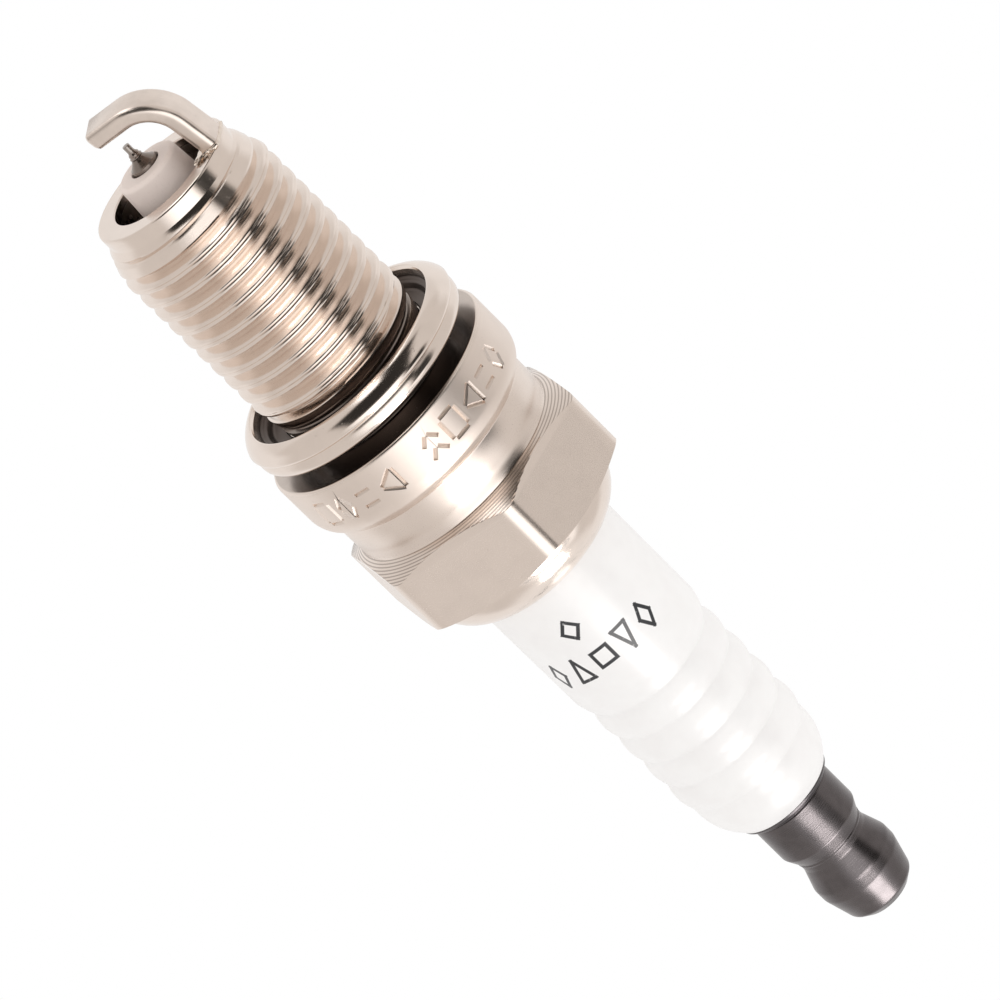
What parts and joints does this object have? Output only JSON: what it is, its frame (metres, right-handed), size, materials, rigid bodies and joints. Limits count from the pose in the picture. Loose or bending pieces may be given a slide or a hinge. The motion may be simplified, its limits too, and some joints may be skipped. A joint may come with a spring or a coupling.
{
  "type": "spark plug",
  "caption": "Threaded spark plug with a hexagon shell, captive gasket, ribbed ceramic insulator, fine-wire electrodes and a screwed terminal nut.",
  "frame": {"origin": "on the axis, in the plane of the shell's seat face", "axes": "+Z along the axis towards the terminal, so the terminal is up as the plug is fitted; the earth electrode is rooted on the -X side"},
  "size_m": [0.0182, 0.0168, 0.0738],
  "materials": {
    "plated_steel": "rolled and turned steel, bright nickel plate",
    "gasket_steel": "rolled steel strip, bright plate",
    "nickel_alloy": "drawn nickel alloy, satin",
    "glazed_alumina": "gloss white glaze",
    "ring_steel": "plain wire",
    "talc": "pressed powder",
    "electrode_nickel": "turned nickel alloy",
    "copper": "extruded copper",
    "iridium": "drawn fine wire",
    "seal_glass": "fused copper glass",
    "resistor_compound": "fused carbon glass",
    "stud_steel": "turned steel, satin nickel plate",
    "nut_steel": "turned steel, satin dark plate"
  },
  "bodies": {
    "root": {"metal_shell": "plated_steel", "ground_electrode": "nickel_alloy", "ground_weld": "nickel_alloy", "insulator": "glazed_alumina", "nose_packing": "ring_steel", "lower_wire_ring": "ring_steel", "talc_ring": "talc", "upper_wire_ring": "ring_steel", "centre_electrode_sheath": "electrode_nickel", "centre_electrode_core": "copper", "tip_weld": "electrode_nickel", "iridium_tip": "iridium", "lower_glass_seal": "seal_glass", "resistor": "resistor_compound", "upper_glass_seal": "seal_glass", "terminal_stud": "stud_steel"},
    "gasket": {"outer_gasket": "gasket_steel"},
    "nut": {"terminal_nut": "nut_steel"}
  },
  "joints": [
    {"name": "gasket_slide", "type": "slide", "parent": "root", "child": "gasket", "axis": [0, 0, 1], "range_m": [0, 0.00105]},
    {"name": "nut_unscrew", "type": "slide", "parent": "root", "child": "nut", "axis": [0, 0, 1], "range_m": [0, 0.0075]}
  ]
}
